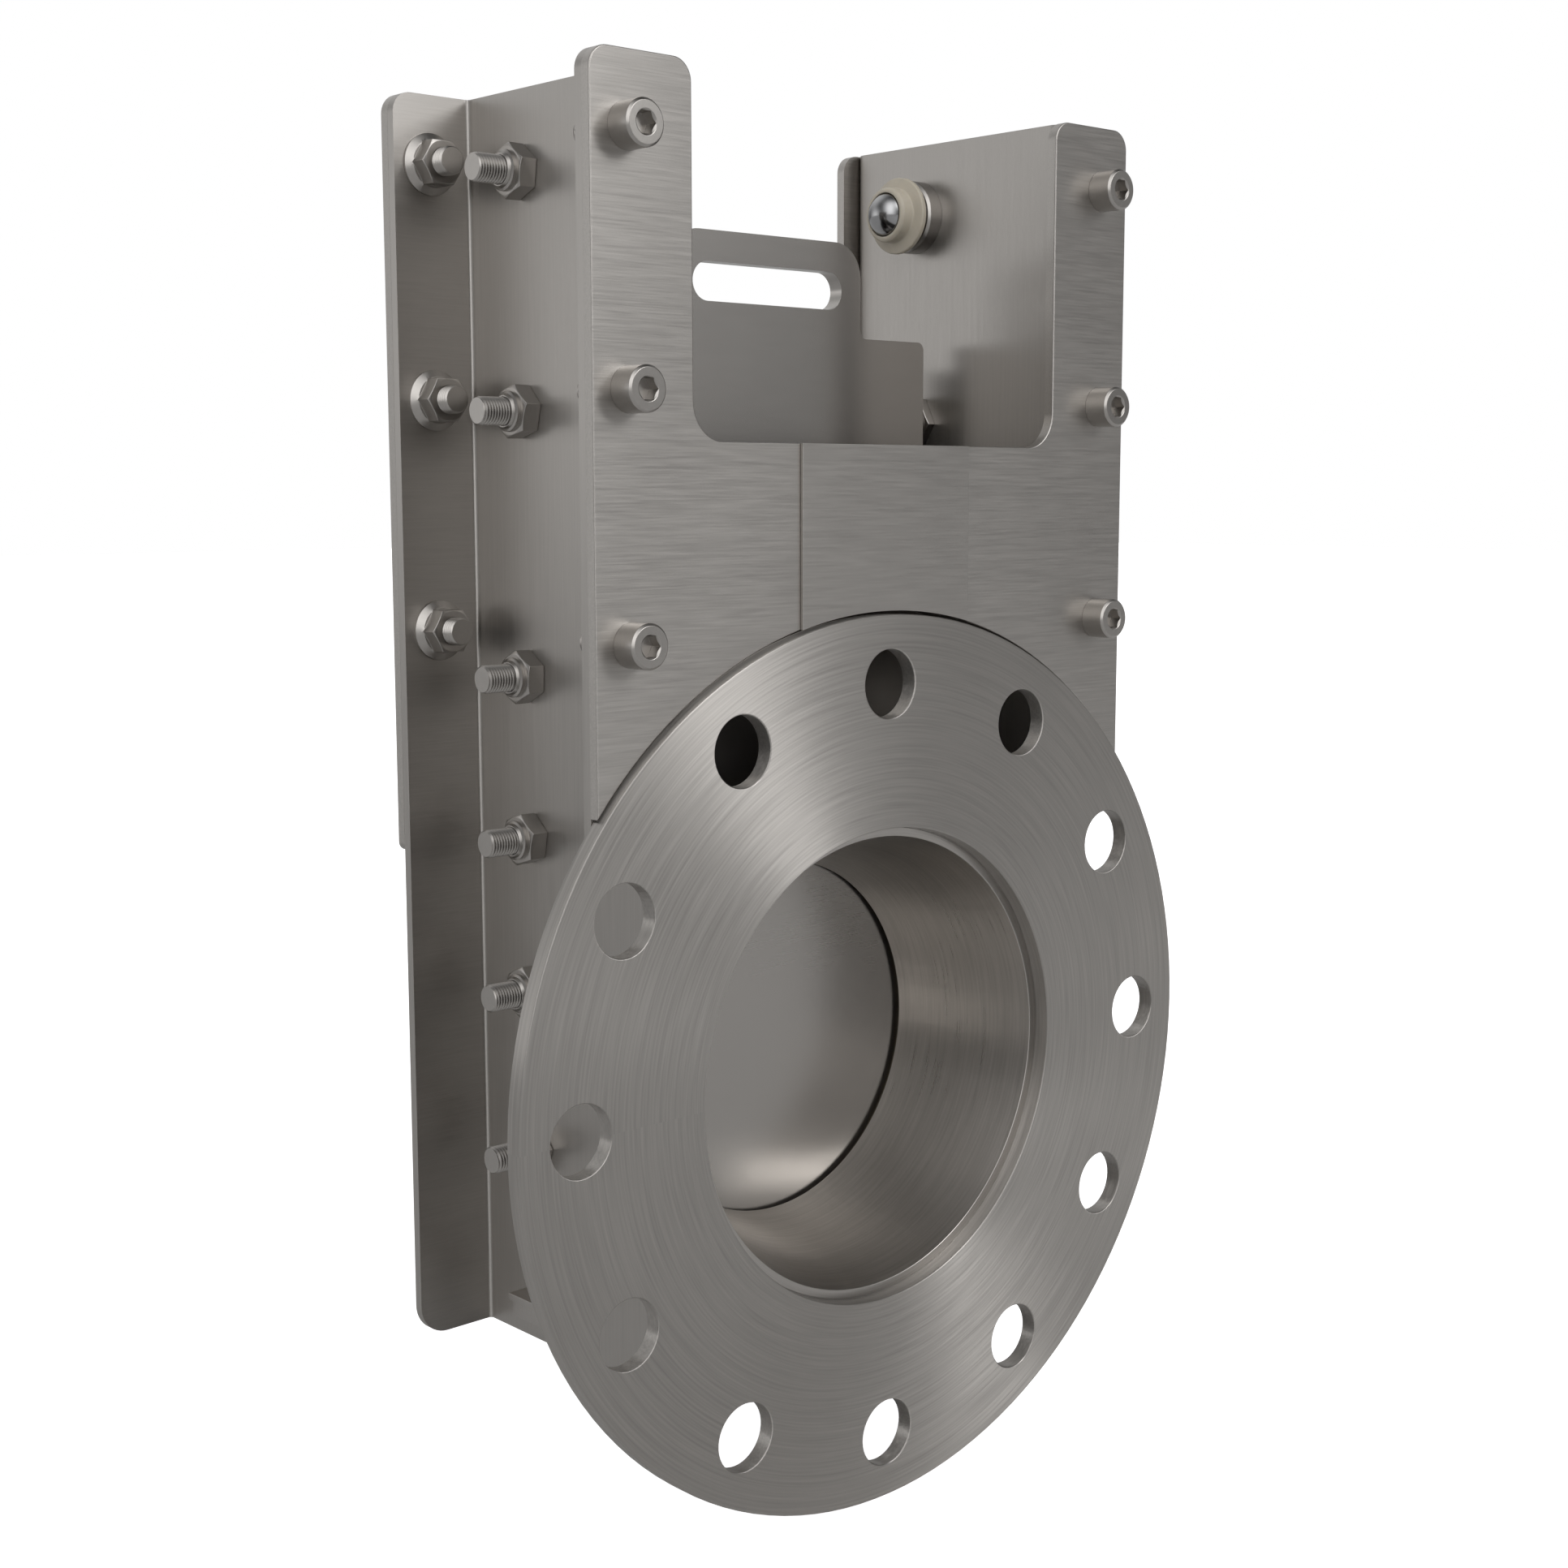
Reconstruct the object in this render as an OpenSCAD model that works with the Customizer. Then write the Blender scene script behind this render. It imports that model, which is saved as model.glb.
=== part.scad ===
// Slide gate valve for a 6 inch line: a plate gate that lifts between two side channels.
// Origin at the centre of the inlet flange's front face. +Y runs into the valve, +Z up.

/* [Inlet flange] */
// Outside diameter of the flange
flange_d = 317.5; // [300:0.5:340]
// Thickness of the flange
flange_t = 6.35; // [5:0.05:10]
// Diameter of the bolt circle
bolt_circle_d = 269.9; // [250:0.1:280]
// Number of bolt holes
bolt_count = 12; // [4:4:16]
// Diameter of a bolt hole
bolt_hole_d = 24; // [14:0.5:28]

/* [Inlet spout] */
// Outside diameter of the pipe
pipe_d = 168.3; // [160:0.1:170]
// Wall of the pipe
pipe_wall = 3.4; // [2.5:0.1:6]
// How far the spout's front end reaches into the flange
spout_inset = 0.55; // [0.3:0.05:2]
// Straight length of the spout's outside before its taper
spout_straight = 8; // [4:0.5:20]
// Inside diameter of the spout where it meets the gate
spout_end_d = 131.2; // [110:0.1:140]
// Gap between the spout's end and the gate
spout_gap = 1.8; // [1:0.1:3]
// Width of the seat ring's face round the spout's end
seat_ring_w = 7; // [4:0.5:9]
// Length of the seat ring along the flow
seat_ring_len = 7; // [4:0.5:12]
// Leg of the weld beads
weld_leg = 3; // [2:0.1:4]

/* [Housing] */
// Thickness of the front and back plates
plate_t = 3.8; // [3:0.1:5]
// Height of the plates' top above the bore's axis
plate_top = 332.5; // [324:0.5:360]
// How far the ears reach inwards beyond the channel webs
ear_inset = 6.3; // [3:0.1:10]
// Height of the window's floor above the bore's axis
window_floor = 216.3; // [205:0.1:230]
// Radius of the window's lower corners
window_r = 12.5; // [6:0.5:20]
// Radius of the ears' top corners
ear_r = 7; // [3:0.5:12]
// Gap between the flange's rim and the front plate
rim_gap = 1.2; // [1:0.05:4]
// Height of the back plate's lower edge above the bore's axis
back_plate_low = 77; // [60:1:84]
// Radius of the back plate's lower corners
back_corner_r = 3; // [1:0.5:8]
// Height of the lower back plate's top above the bore's axis
lower_back_top = 112; // [100:1:140]
// Width of the bare plate on the front plate
name_plate_w = 79.8; // [60:0.2:100]
// Thickness of the bare plate
name_plate_t = 1.2; // [1:0.1:3]

/* [Side channels] */
// Width of the channels' flanges
channel_reach = 33.4; // [30:0.1:40]
// Depth of the channels, front to back
channel_depth = 106.3; // [102:0.1:116]
// Thickness of the channel sheet
channel_t = 3.4; // [2.5:0.1:4.2]
// Inside radius of the channel's bends
bend_r = 1.4; // [0.5:0.1:3]
// Depth of the channels below the bore's axis
channel_low = 98; // [94:1:120]
// Radius of the channel flanges' lower outer corners
channel_corner_r = 11; // [4:0.5:16]
// Height above the bore's axis from which the channels' front flanges have their full width
full_reach_z = 92; // [80:1:96]
// Room between the lower, narrow front flanges and the bolt holes
bolt_room = 1.5; // [0.5:0.1:3]
// Thickness of the bottom plate
bottom_t = 3.4; // [2.5:0.1:5]

/* [Gate] */
// Thickness of the gate plate
gate_t = 6; // [4:0.1:8]
// Distance of the gate's front face from the flange's face
gate_y = 62; // [58:0.1:66]
// Depth of the gate's lower edge below the bore's axis
gate_low = 80; // [78:0.5:84]
// Height of the gate's shoulders above the bore's axis
shoulder_z = 256.7; // [250:0.1:270]
// Width of the gate's handle above the shoulders
handle_w = 90.8; // [84:0.2:120]
// Height of the handle's top above the bore's axis
handle_top = 290.8; // [286:0.1:310]
// Radius of the handle's top corners
handle_r = 12.7; // [6:0.1:16]
// Small radius of the gate's other corners
gate_r = 3; // [1:0.1:5]
// Length of the hand slot
slot_len = 70.4; // [50:0.2:80]
// Height of the hand slot
slot_h = 17.4; // [12:0.2:20]
// Height of the hand slot's middle above the bore's axis
slot_z = 274.3; // [272:0.1:276]

/* [Runners] */
// Width of a runner, across the gate
runner_w = 14; // [13:0.5:18]
// Depth of a runner, along the flow
runner_depth = 20; // [18:0.5:21]
// Height of the runners' top above the bore's axis
runner_top = 248; // [236:1:254]
// Distance that the balls reach into a runner's groove
groove_reach = 2.2; // [1:0.1:3]
// Height of the foot bar between the runners
foot_h = 12; // [8:0.5:13]
// Diameter of the runner screws' thread
runner_screw_d = 5; // [4:0.5:5.5]
// Wall between the runner screws' heads and the groove
runner_screw_wall = 0.8; // [0.5:0.1:2]
// Number of screws in a runner
runner_screw_count = 4; // [2:1:6]
// Height of the lowest runner screw above the gate's lower edge
runner_screw_low = 30; // [20:1:60]

/* [Ball guides] */
// Diameter of a ball
ball_d = 17; // [15:0.1:18]
// Distance of the balls' middle from the channel web's inner face
ball_stand = 14.4; // [13.5:0.1:16]
// Distance from the ball's middle to the housing's open face
lip_reach = 3.5; // [2:0.1:4]
// Bevel round the housing's open face
lip_edge = 1; // [0.4:0.1:1.5]
// Diameter of the housing's lip
lip_d = 20.4; // [19:0.1:20.6]
// Diameter of the housing's rim
rim_d = 28.6; // [26:0.1:30]
// Thickness of the housing's rim
rim_t = 2; // [1:0.1:3]
// Distance of the housing's back from the web
housing_stand = 9.1; // [8.4:0.1:9.8]
// Thickness of the top guides' steel cup
cup_t = 2.2; // [1.6:0.1:3]
// Diameter of the top guides' steel cup
cup_d = 24; // [20:0.5:27]
// Diameter of the lower guides' steel cup
lower_cup_d = 16.8; // [16:0.1:20]
// Diameter of the top guides' round base
base_d = 27.2; // [22:0.2:30]
// Diameter of a guide's threaded stud
stud_d = 9.6; // [8:0.1:10]
// Length of stud that stands out of the web
stud_out = 20; // [17:0.5:26]
// Heights of the guides above the bore's axis
guide_z1 = 305.5; // [298:0.5:310]
guide_z2 = 227.2; // [218:0.1:236]
guide_z3 = 138.2; // [130:0.1:146]
guide_z4 = 82.4; // [76:0.1:90]
guide_z5 = 29; // [22:0.1:36]
guide_z6 = -28; // [-36:0.1:-20]
// Width of a lock nut across its flats
lock_nut_w = 16; // [14:0.1:17]
// Height of a lock nut's hexagon
lock_nut_h = 6.9; // [5:0.1:8]
// Height of a lock nut's collar
collar_h = 2.8; // [2:0.1:4]
// Width of a jam nut across its flats
jam_nut_w = 18.7; // [17:0.1:19]
// Height of a jam nut
jam_nut_h = 4.2; // [3:0.1:5]

/* [Plate screws] */
// Distance of the plate screws from the plates' side edges
screw_edge = 14; // [11:0.1:16]
// Distance of the top plate screws below the plates' top
screw_drop = 22.8; // [12:0.1:30]
// Spacing of the plate screws
screw_pitch = 78.2; // [70:0.1:80]
// Number of plate screws in a row
screw_count = 3; // [2:1:3]
// Diameter of the plate screws' thread
screw_d = 9.5; // [8:0.1:10]
// Diameter of the screw heads
head_d = 14.6; // [13:0.1:16]
// Height of the screw heads
head_h = 9.6; // [7:0.1:11]
// Width of the hexagon socket across its flats
socket_w = 6.6; // [5.5:0.1:8]
// Depth of the hexagon socket
socket_depth = 4.4; // [3:0.1:6]
// Width of a flange nut across its flats
flange_nut_w = 14.3; // [13:0.1:16]
// Height of a flange nut
flange_nut_h = 8.8; // [7:0.1:10]
// Diameter of a flange nut's flange
nut_flange_d = 20.6; // [18:0.1:22]
// Thickness of a flange nut's flange
nut_flange_t = 1.8; // [1.2:0.1:2.5]
// Length of thread beyond a flange nut
screw_out = 5; // [2:0.1:8]

/* [Stop bar] */
// Height of the stop bar
stop_bar_h = 6; // [4:0.1:8]
// Depth of the stop bar, along the flow
stop_bar_depth = 19; // [16:0.5:22]
// Length of the stop bar's end outside each channel web
stop_bar_out = 9; // [6:0.5:16]
// Thickness of the strip on the stop bar
stop_strip_t = 2.5; // [1.5:0.1:4]
// Overhang of the strip over the stop bar
stop_overhang = 1; // [0.5:0.1:2]

/* [Outlet] */
// Length of the outlet stub behind the channels
outlet_len = 26; // [15:1:40]
// Length of the outlet stub inside the housing
outlet_in = 12; // [4:0.5:14]

/* [Clearances] */
// Gap between the spout and the channel webs
web_gap = 7.45; // [5:0.05:10]
// Gap between the gate's side edges and the channel webs
gate_side_gap = 12.7; // [12:0.1:16]
// Gap between the gate's back and the lips of the ball housings
lip_gap = 0.3; // [0.2:0.05:1]
// Gap between the gate's side edges and the sloping step of the top ball housings
edge_gap = 0.3; // [0.2:0.05:1]
// Gap between the spout and the flange's bore
pipe_gap = 0.4; // [0.2:0.05:1]
// Running gap between a ball and what it rolls in or on
ball_gap = 0.3; // [0.2:0.05:0.5]
// Gap between the seat ring and the gate
seat_gap = 0.3; // [0.2:0.05:0.5]
// Gap round the threads in their holes
thread_gap = 0.4; // [0.3:0.05:0.8]
// Gap round the stop bar in the webs
bar_gap = 0.2; // [0.1:0.05:0.5]
// Gap round the outlet stub in its plate
outlet_gap = 0.3; // [0.1:0.05:0.6]

/* [Hidden] */

round_fn = 72;
small_fn = 32;
hex_fn = 6;
past = 1;

channel_front = flange_t;
channel_back = channel_front + channel_depth;
valve_middle = (channel_front + channel_back) / 2;
front_face = channel_front - plate_t;
web_in = pipe_d / 2 + web_gap;
gate_w = 2 * (web_in - gate_side_gap);
web_out = web_in + channel_t;
plate_edge = web_in + channel_reach;
window_w = 2 * (web_in - ear_inset);
low_edge = bolt_circle_d / 2 * cos(30) - bolt_hole_d / 2 - bolt_room;
screw_x = plate_edge - screw_edge;
screw_top = plate_top - screw_drop;
gate_back = gate_y + gate_t;
guide_y = gate_back + lip_gap + lip_d / 2;
guide_z = [guide_z1, guide_z2, guide_z3, guide_z4, guide_z5, guide_z6];
ball_x = web_in - ball_stand;
ball_r = ball_d / 2;
groove_r = ball_r + ball_gap;
runner_out = ball_x - groove_r + groove_reach + ball_gap;
runner_in = runner_out - runner_w;
runner_back = gate_back + runner_depth;
housing_back = web_in - housing_stand;
lip_face = ball_x - lip_reach;
bore_r = pipe_d / 2 + pipe_gap;
spout_recess = flange_t - spout_inset;
spout_end = gate_y - spout_gap;
spout_in_r = pipe_d / 2 - pipe_wall + 0.2;
spout_out_end_r = spout_end_d / 2 + pipe_wall;
taper_start = spout_recess + spout_straight;
taper_slope = (pipe_d / 2 - spout_out_end_r) / (spout_end - taper_start);
stop_top = -gate_low;
// How far the nuts are turned as tightened, in degrees, with the lock nuts from the top down.
lock_nut_turns = [8, 15, 3, 11, 6, 19];
jam_nut_turn = 26;
stop_y = gate_y + (runner_back - gate_y) / 2;

steel = [0.62, 0.61, 0.59];
bright_steel = [0.72, 0.72, 0.71];
dark_steel = [0.5, 0.49, 0.47];
nylon = [0.86, 0.83, 0.74];
chrome = [0.8, 0.8, 0.82];

// An upright sheet of thickness t whose outline is drawn in X and Z, with its front face at y.
module upright(y, t) {
    translate([0, y + t, 0]) rotate([90, 0, 0]) linear_extrude(t) children();
}

// Turns a shape whose axis is +Z so that its axis is +Y, from y on.
module along_flow(y) {
    translate([0, y, 0]) rotate([-90, 0, 0]) children();
}

// Turns a shape whose axis is +Z so that its axis is +X, with its foot at [x, y, z].
module across(x, y, z) {
    translate([x, y, z]) rotate([0, 90, 0]) children();
}

module mirrored(side) {
    mirror([side < 0 ? 1 : 0, 0, 0]) children();
}

// The waste outside a rounded corner whose tip is at [x, y]; sx and sy point away from the outline.
module corner_waste(x, y, sx, sy, r) {
    translate([x, y]) scale([sx, sy]) difference() {
        translate([-r, -r]) square(r + past);
        translate([-r, -r]) circle(r, $fn = round_fn);
    }
}

module rounded_box(w, h, r) {
    square([w - 2 * r, h], center = true);
    square([w, h - 2 * r], center = true);
    for (sx = [-1, 1], sy = [-1, 1]) {
        translate([sx * (w / 2 - r), sy * (h / 2 - r)]) circle(r, $fn = round_fn);
    }
}

module screw_places() {
    for (sx = [-1, 1], k = [0 : screw_count - 1]) {
        translate([sx * screw_x, screw_top - k * screw_pitch]) children();
    }
}

// The window between the ears, open at the top.
module window() {
    tall = 2 * (plate_top - window_floor);
    translate([0, window_floor + tall / 2]) rounded_box(window_w, tall, window_r);
    for (side = [-1, 1]) {
        corner_waste(side * window_w / 2, plate_top, -side, 1, ear_r);
    }
}

// Ears, window and screw holes that the front and back plates share, down to low.
module plate_outline(low) {
    difference() {
        translate([-plate_edge, low]) square([2 * plate_edge, plate_top - low]);
        window();
        for (side = [-1, 1]) {
            corner_waste(side * plate_edge, plate_top, side, 1, ear_r);
        }
        screw_places() circle(d = screw_d + 2 * thread_gap, $fn = small_fn);
    }
}

module front_plate() {
    rim_r = flange_d / 2 + rim_gap;
    color(steel) upright(front_face, plate_t) difference() {
        plate_outline(0);
        circle(rim_r, $fn = round_fn);
    }
}

module name_plate() {
    rim_r = flange_d / 2 + rim_gap;
    color(bright_steel) upright(front_face - name_plate_t, name_plate_t) difference() {
        translate([-name_plate_w / 2, 0]) square([name_plate_w, window_floor]);
        circle(rim_r, $fn = round_fn);
    }
}

module back_plate() {
    color(steel) upright(channel_back, plate_t) difference() {
        plate_outline(back_plate_low);
        circle(pipe_d / 2 + weld_leg + rim_gap, $fn = round_fn);
        for (side = [-1, 1]) {
            corner_waste(side * plate_edge, back_plate_low, side, -1, back_corner_r);
        }
    }
}

module lower_back_plate() {
    color(steel) upright(channel_back - channel_t, channel_t) difference() {
        translate([-web_in, -channel_low]) square([2 * web_in, channel_low + lower_back_top]);
        circle(pipe_d / 2 + outlet_gap, $fn = round_fn);
    }
}

module bottom_plate() {
    color(steel) translate([-web_in, channel_front, -channel_low])
        cube([2 * web_in, channel_depth - channel_t, bottom_t]);
}

// Section of a channel that opens towards +X.
module channel_section() {
    difference() {
        translate([web_in, channel_front]) square([channel_reach, channel_depth]);
        corner_waste(web_in, channel_front, -1, -1, bend_r + channel_t);
        corner_waste(web_in, channel_back, -1, 1, bend_r + channel_t);
        difference() {
            translate([web_out, channel_front + channel_t])
                square([channel_reach, channel_depth - 2 * channel_t]);
            corner_waste(web_out, channel_front + channel_t, -1, -1, bend_r);
            corner_waste(web_out, channel_back - channel_t, -1, 1, bend_r);
        }
    }
}

// Part of the front flange that is cut away so that the line's bolts and nuts have room.
module bolt_notch() {
    difference() {
        translate([low_edge, -channel_low - past])
            square([plate_edge - low_edge + past, channel_low + past + full_reach_z]);
        corner_waste(low_edge, full_reach_z, -1, 1, bend_r + channel_t);
    }
}

module channel() {
    low = -channel_low;
    slot_h_bar = stop_bar_h + stop_strip_t + 2 * bar_gap;
    slot_depth = stop_bar_depth + 2 * stop_overhang + 2 * bar_gap;
    difference() {
        translate([0, 0, low]) linear_extrude(plate_top - low) channel_section();
        upright(channel_front - past, channel_depth + 2 * past) {
            corner_waste(plate_edge, plate_top, 1, 1, ear_r);
            corner_waste(plate_edge, low, 1, -1, channel_corner_r);
        }
        upright(channel_front - past, channel_t + 2 * past) bolt_notch();
        upright(channel_front - past, channel_depth + 2 * past)
            screw_places() circle(d = screw_d + 2 * thread_gap, $fn = small_fn);
        for (z = guide_z) {
            across(web_in - past, guide_y, z)
                cylinder(d = stud_d + 2 * thread_gap, h = channel_t + 2 * past, $fn = small_fn);
        }
        translate([web_in - past, stop_y - slot_depth / 2, stop_top + bar_gap - slot_h_bar])
            cube([channel_t + 2 * past, slot_depth, slot_h_bar]);
    }
}

module left_channel() { color(dark_steel) mirrored(-1) channel(); }
module right_channel() { color(dark_steel) channel(); }

module front_flange() {
    color(steel) upright(0, flange_t) difference() {
        circle(d = flange_d, $fn = 180);
        circle(bore_r, $fn = round_fn);
        for (k = [0 : bolt_count - 1]) {
            rotate(k * 360 / bolt_count) translate([0, bolt_circle_d / 2])
                circle(d = bolt_hole_d, $fn = small_fn);
        }
    }
}

// Tapered spout: a pipe end at the flange that narrows to the gate.
module inlet_spout() {
    color(bright_steel) along_flow(0) rotate_extrude($fn = round_fn) polygon([
        [spout_in_r, spout_recess],
        [pipe_d / 2, spout_recess],
        [pipe_d / 2, taper_start],
        [spout_out_end_r, spout_end],
        [spout_end_d / 2, spout_end]
    ]);
}

// Weld round the spout that fills the gap in the flange's bore, with its bead behind the flange.
module inlet_weld() {
    color(bright_steel) along_flow(0) rotate_extrude($fn = round_fn) polygon([
        [pipe_d / 2, spout_recess],
        [bore_r, spout_recess],
        [bore_r, flange_t],
        [bore_r + weld_leg, flange_t],
        [pipe_d / 2, flange_t + weld_leg]
    ]);
}

// Nylon ring on the tapered end of the spout.
module seat_ring() {
    ring_end = gate_y - seat_gap;
    ring_start = ring_end - seat_ring_len;
    start_r = spout_out_end_r + taper_slope * (spout_end - ring_start);
    color(nylon) along_flow(0) rotate_extrude($fn = round_fn) polygon([
        [start_r, ring_start],
        [spout_out_end_r + seat_ring_w, ring_start],
        [spout_out_end_r + seat_ring_w, ring_end],
        [spout_out_end_r, ring_end],
        [spout_out_end_r, spout_end]
    ]);
}

module outlet_stub() {
    start = channel_back - channel_t - outlet_in;
    color(bright_steel) along_flow(start) difference() {
        cylinder(d = pipe_d, h = channel_back + outlet_len - start, $fn = round_fn);
        translate([0, 0, -past])
            cylinder(r = spout_in_r, h = channel_back + outlet_len - start + 2 * past, $fn = round_fn);
    }
}

module outlet_weld() {
    color(bright_steel) along_flow(0) rotate_extrude($fn = round_fn) polygon([
        [pipe_d / 2, channel_back],
        [pipe_d / 2 + weld_leg, channel_back],
        [pipe_d / 2, channel_back + weld_leg]
    ]);
}

// Bar through both webs that the closed gate rests on.
module stop_bar() {
    len = 2 * (web_out + stop_bar_out - stop_overhang);
    color(steel) translate([0, stop_y, stop_top - stop_strip_t - stop_bar_h / 2])
        cube([len, stop_bar_depth, stop_bar_h], center = true);
}

module stop_strip() {
    color(bright_steel) translate([0, stop_y, stop_top - stop_strip_t / 2])
        cube([2 * (web_out + stop_bar_out), stop_bar_depth + 2 * stop_overhang, stop_strip_t],
            center = true);
}

// Chamfered hexagon from z = 0 to h, with its flats facing along Y.
module hexagon(w, h) {
    tip_d = w / cos(30);
    bevel = (tip_d - w) / 2;
    intersection() {
        cylinder(d = tip_d, h = h, $fn = hex_fn);
        rotate_extrude($fn = small_fn) polygon([
            [0, 0], [tip_d / 2, 0], [tip_d / 2, h - bevel * 0.6], [w / 2 - 0.3, h], [0, h]
        ]);
    }
}

// Plate screw along +Z whose head sits on z = 0, with the head below it.
module plate_screw() {
    grip = plate_t + channel_t;
    len = grip + flange_nut_h + screw_out;
    edge = 0.8;
    mouth_r = socket_w / cos(30) / 2 + 0.2;
    difference() {
        rotate_extrude($fn = small_fn) polygon([
            [0, -head_h],
            [head_d / 2 - edge, -head_h],
            [head_d / 2, edge - head_h],
            [head_d / 2, 0],
            [screw_d / 2, 0],
            [screw_d / 2, len - edge],
            [screw_d / 2 - edge, len],
            [0, len]
        ]);
        translate([0, 0, -head_h - past])
            cylinder(d = socket_w / cos(30), h = socket_depth + past, $fn = hex_fn);
        translate([0, 0, -head_h]) rotate_extrude($fn = small_fn)
            polygon([[0, -past], [mouth_r + past, -past], [mouth_r, 0], [mouth_r - edge, edge], [0, edge]]);
    }
}

// Flange nut that sits on z = 0.
module flange_nut() {
    slope = 0.8;
    difference() {
        union() {
            rotate_extrude($fn = small_fn) polygon([
                [0, 0], [nut_flange_d / 2, 0], [nut_flange_d / 2, slope],
                [flange_nut_w / 2 + slope, nut_flange_t + slope], [0, nut_flange_t + slope]
            ]);
            hexagon(flange_nut_w, flange_nut_h);
        }
        translate([0, 0, -past]) cylinder(d = screw_d, h = flange_nut_h + 2 * past, $fn = small_fn);
    }
}

// Places its child on the front plate for each screw, with +Z of the child along +Y.
module on_front(y) {
    for (sx = [-1, 1], k = [0 : screw_count - 1]) {
        translate([sx * screw_x, y, screw_top - k * screw_pitch]) rotate([-90, 0, 0]) children();
    }
}

module on_back() {
    translate([0, 2 * valve_middle, 0]) mirror([0, 1, 0]) children();
}

module front_screws() { color(bright_steel) on_front(front_face) plate_screw(); }
module rear_screws() { color(bright_steel) on_back() on_front(front_face) plate_screw(); }
module front_nuts() { color(bright_steel) on_front(channel_front + channel_t) flange_nut(); }
module rear_nuts() { color(bright_steel) on_back() on_front(channel_front + channel_t) flange_nut(); }

// Stud of a ball guide with the steel cup behind its ball; the top guide's cup has a round base.
module guide_stud(top) {
    edge = 1;
    cup_back = top ? housing_back + cup_t : web_in - jam_nut_h;
    tip = web_out + stud_out;
    base = [[cup_d / 2, housing_back], [cup_d / 2, cup_back], [base_d / 2 - edge, cup_back],
        [base_d / 2, cup_back + edge], [base_d / 2, web_in], [stud_d / 2, web_in]];
    cup = [[lower_cup_d / 2, housing_back], [lower_cup_d / 2, cup_back], [stud_d / 2, cup_back]];
    difference() {
        rotate_extrude($fn = small_fn) polygon(concat(
            [[0, housing_back]],
            top ? base : cup,
            [[stud_d / 2, tip - edge], [stud_d / 2 - edge, tip], [0, tip]]
        ));
        translate([0, 0, ball_x]) sphere(groove_r, $fn = round_fn);
    }
}

// Lock nut with a round collar, sitting on z = 0.
module lock_nut(turn) {
    collar_r = lock_nut_w / 2 - 1.3;
    edge = 1;
    difference() {
        union() {
            rotate(turn) hexagon(lock_nut_w, lock_nut_h);
            rotate_extrude($fn = small_fn) polygon([
                [0, 0], [collar_r, 0], [collar_r, lock_nut_h + collar_h - edge],
                [collar_r - edge, lock_nut_h + collar_h], [0, lock_nut_h + collar_h]
            ]);
        }
        translate([0, 0, -past]) cylinder(d = stud_d, h = lock_nut_h + collar_h + 2 * past, $fn = small_fn);
    }
}

module jam_nut() {
    difference() {
        rotate(jam_nut_turn) hexagon(jam_nut_w, jam_nut_h);
        translate([0, 0, -past]) cylinder(d = stud_d, h = jam_nut_h + 2 * past, $fn = small_fn);
    }
}

// Nylon housing of a ball guide, with a socket round the ball that its lip keeps in. Only the top
// housing widens to a rim.
module ball_housing(top) {
    step_end = housing_back - rim_t;
    step_start = gate_w / 2 + edge_gap;
    lip = [[0, lip_face], [lip_d / 2 - lip_edge, lip_face], [lip_d / 2, lip_face + lip_edge]];
    rim = [[lip_d / 2, step_start], [rim_d / 2, step_end], [rim_d / 2, housing_back]];
    plain = [[lip_d / 2, housing_back]];
    difference() {
        rotate_extrude($fn = round_fn) polygon(concat(lip, top ? rim : plain, [[0, housing_back]]));
        translate([0, 0, ball_x]) sphere(groove_r, $fn = round_fn);
    }
}

module guide_studs(side) {
    for (k = [0 : len(guide_z) - 1]) {
        mirrored(side) across(0, guide_y, guide_z[k]) guide_stud(k == 0);
    }
}

module lock_nuts(side) {
    for (k = [0 : len(guide_z) - 1]) {
        mirrored(side) across(web_out, guide_y, guide_z[k]) lock_nut(lock_nut_turns[k]);
    }
}

// The top guides have a round base instead of a jam nut.
module jam_nuts(side) {
    for (k = [1 : len(guide_z) - 1]) {
        mirrored(side) translate([web_in, guide_y, guide_z[k]]) rotate([0, -90, 0]) jam_nut();
    }
}

module ball_housings(side) {
    for (k = [0 : len(guide_z) - 1]) {
        mirrored(side) across(0, guide_y, guide_z[k]) ball_housing(k == 0);
    }
}

module guide_ball(side, row) {
    color(chrome) translate([side * ball_x, guide_y, guide_z[row - 1]]) sphere(ball_r, $fn = round_fn);
}

module guide_studs_left() { color(bright_steel) guide_studs(-1); }
module guide_studs_right() { color(bright_steel) guide_studs(1); }
module lock_nuts_left() { color(bright_steel) lock_nuts(-1); }
module lock_nuts_right() { color(bright_steel) lock_nuts(1); }
module jam_nuts_left() { color(bright_steel) jam_nuts(-1); }
module jam_nuts_right() { color(bright_steel) jam_nuts(1); }
module ball_housings_left() { color(nylon) ball_housings(-1); }
module ball_housings_right() { color(nylon) ball_housings(1); }

// Outline of the gate: a wide plate with shoulders, and a handle with a hand slot.
module gate_outline() {
    difference() {
        union() {
            translate([-gate_w / 2, -gate_low]) square([gate_w, shoulder_z + gate_low]);
            translate([-handle_w / 2, 0]) square([handle_w, handle_top]);
            for (side = [-1, 1]) {
                corner_waste(side * handle_w / 2, shoulder_z, -side, -1, gate_r);
            }
        }
        for (side = [-1, 1]) {
            corner_waste(side * handle_w / 2, handle_top, side, 1, handle_r);
            corner_waste(side * gate_w / 2, shoulder_z, side, 1, gate_r);
            corner_waste(side * gate_w / 2, -gate_low, side, -1, gate_r);
        }
        translate([0, slot_z]) {
            square([slot_len - slot_h, slot_h], center = true);
            for (side = [-1, 1]) {
                translate([side * (slot_len - slot_h) / 2, 0]) circle(d = slot_h, $fn = round_fn);
            }
        }
    }
}

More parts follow.
